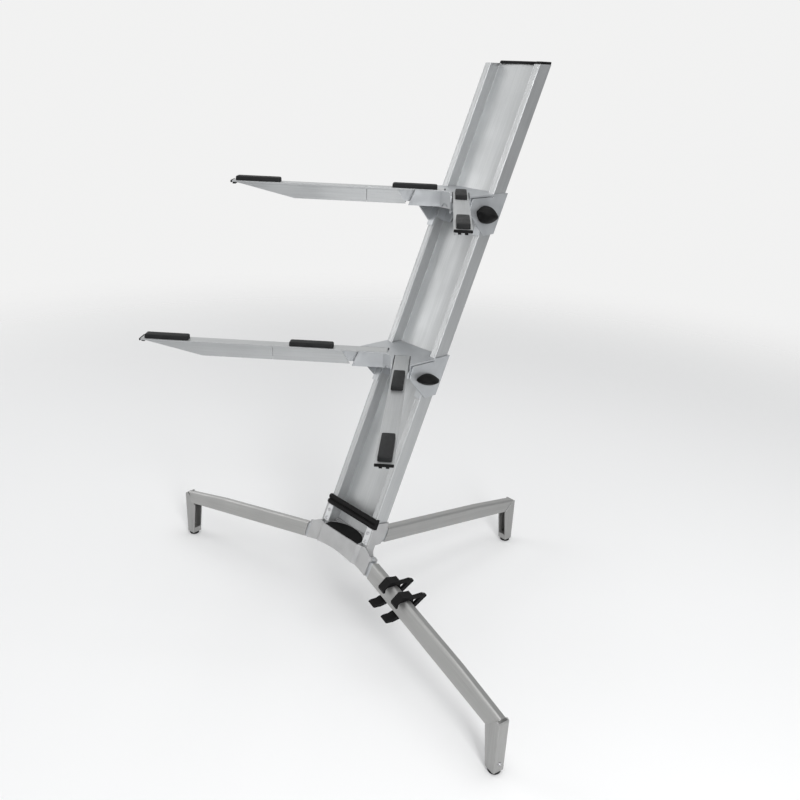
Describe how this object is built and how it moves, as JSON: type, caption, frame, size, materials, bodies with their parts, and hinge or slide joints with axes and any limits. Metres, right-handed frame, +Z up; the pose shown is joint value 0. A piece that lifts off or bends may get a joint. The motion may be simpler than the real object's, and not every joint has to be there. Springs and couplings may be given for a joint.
{
  "type": "folding keyboard stand",
  "caption": "Leaning channel column on a three-legged folding base, with sliding carriages that carry pairs of padded arms for keyboards.",
  "frame": {"origin": "centre of the footprint, on the floor", "axes": "+X to the right, -Y towards the player, +Z up"},
  "size_m": [0.9984, 0.7478, 1.0798],
  "materials": {
    "aluminium": "satin anodised, brushed along its length",
    "cast_aluminium": "satin cast",
    "steel": "satin",
    "rubber": "matte black",
    "black_plastic": "satin black"
  },
  "bodies": {
    "base": {"column": "aluminium", "web_cap": "black_plastic", "side_cap_right": "black_plastic", "base_hub": "cast_aluminium", "hub_cover": "black_plastic", "base_bar": "black_plastic", "fixing_plates": "aluminium", "plate_screws": "steel", "hinge_pins": "steel"},
    "right_leg": {"leg_right": "aluminium", "hinge_block_right": "cast_aluminium", "foot_post_right": "aluminium", "rubber_foot_right": "rubber", "foot_screw_right": "steel", "cable_clip_inner": "black_plastic", "cable_clip_outer": "black_plastic"},
    "left_leg": {"leg_left": "aluminium", "hinge_block_left": "cast_aluminium", "foot_post_left": "aluminium", "rubber_foot_left": "rubber", "foot_screw_left": "steel"},
    "rear_leg": {"leg_rear": "aluminium", "hinge_block_rear": "cast_aluminium", "foot_post_rear": "aluminium", "rubber_foot_rear": "rubber", "foot_screw_rear": "steel"},
    "tier_lower": {"carriage_lower": "aluminium", "clamp_nut_lower": "steel"},
    "knob_lower": {"clamp_knob_lower": "black_plastic", "clamp_bolt_lower": "steel"},
    "arm_lower_right_set": {"arm_lower_right": "aluminium", "arm_root_lower_right": "black_plastic", "arm_cap_lower_right": "black_plastic", "pad_inner_lower_right": "rubber", "pad_outer_lower_right": "rubber"},
    "arm_lower_left_set": {"arm_lower_left": "aluminium", "arm_root_lower_left": "black_plastic", "arm_cap_lower_left": "black_plastic", "pad_inner_lower_left": "rubber", "pad_outer_lower_left": "rubber"},
    "tier_upper": {"carriage_upper": "aluminium", "clamp_nut_upper": "steel"},
    "knob_upper": {"clamp_knob_upper": "black_plastic", "clamp_bolt_upper": "steel"},
    "arm_upper_right_set": {"arm_upper_right": "aluminium", "arm_root_upper_right": "black_plastic", "arm_cap_upper_right": "black_plastic", "pad_inner_upper_right": "rubber", "pad_outer_upper_right": "rubber"},
    "arm_upper_left_set": {"arm_upper_left": "aluminium", "arm_root_upper_left": "black_plastic", "arm_cap_upper_left": "black_plastic", "pad_inner_upper_left": "rubber", "pad_outer_upper_left": "rubber"}
  },
  "joints": [
    {"name": "right_leg_fold", "type": "hinge", "parent": "base", "child": "right_leg", "pos_m": [0.092, -0.13997, 0.17751], "axis": [0, -0.9164, 0.4003], "range_deg": [0, 95]},
    {"name": "left_leg_fold", "type": "hinge", "parent": "base", "child": "left_leg", "pos_m": [-0.092, -0.13997, 0.17751], "axis": [0, 0.9164, -0.4003], "range_deg": [0, 95]},
    {"name": "rear_leg_fold", "type": "hinge", "parent": "base", "child": "rear_leg", "pos_m": [0, -0.0381, 0.17338], "axis": [1, 0, 0], "range_deg": [0, 70]},
    {"name": "lower_tier_height", "type": "slide", "parent": "base", "child": "tier_lower", "axis": [0, 0.4003, 0.9164], "range_m": [-0.23, 0.115]},
    {"name": "lower_clamp_turn", "type": "hinge", "parent": "tier_lower", "child": "knob_lower", "pos_m": [0, -0.00619, 0.512], "axis": [1, 0, 0], "range_deg": [0, 360]},
    {"name": "lower_right_arm_reach", "type": "slide", "parent": "tier_lower", "child": "arm_lower_right_set", "axis": [0.7071, -0.7071, 0], "range_m": [0, 0.035]},
    {"name": "lower_left_arm_reach", "type": "slide", "parent": "tier_lower", "child": "arm_lower_left_set", "axis": [-0.7071, -0.7071, 0], "range_m": [0, 0.035]},
    {"name": "upper_tier_height", "type": "slide", "parent": "base", "child": "tier_upper", "axis": [0, 0.4003, 0.9164], "range_m": [-0.115, 0.2]},
    {"name": "upper_clamp_turn", "type": "hinge", "parent": "tier_upper", "child": "knob_upper", "pos_m": [0, 0.12378, 0.8095], "axis": [1, 0, 0], "range_deg": [0, 360]},
    {"name": "upper_right_arm_reach", "type": "slide", "parent": "tier_upper", "child": "arm_upper_right_set", "axis": [0.7071, -0.7071, 0], "range_m": [0, 0.035]},
    {"name": "upper_left_arm_reach", "type": "slide", "parent": "tier_upper", "child": "arm_upper_left_set", "axis": [-0.7071, -0.7071, 0], "range_m": [0, 0.035]}
  ]
}
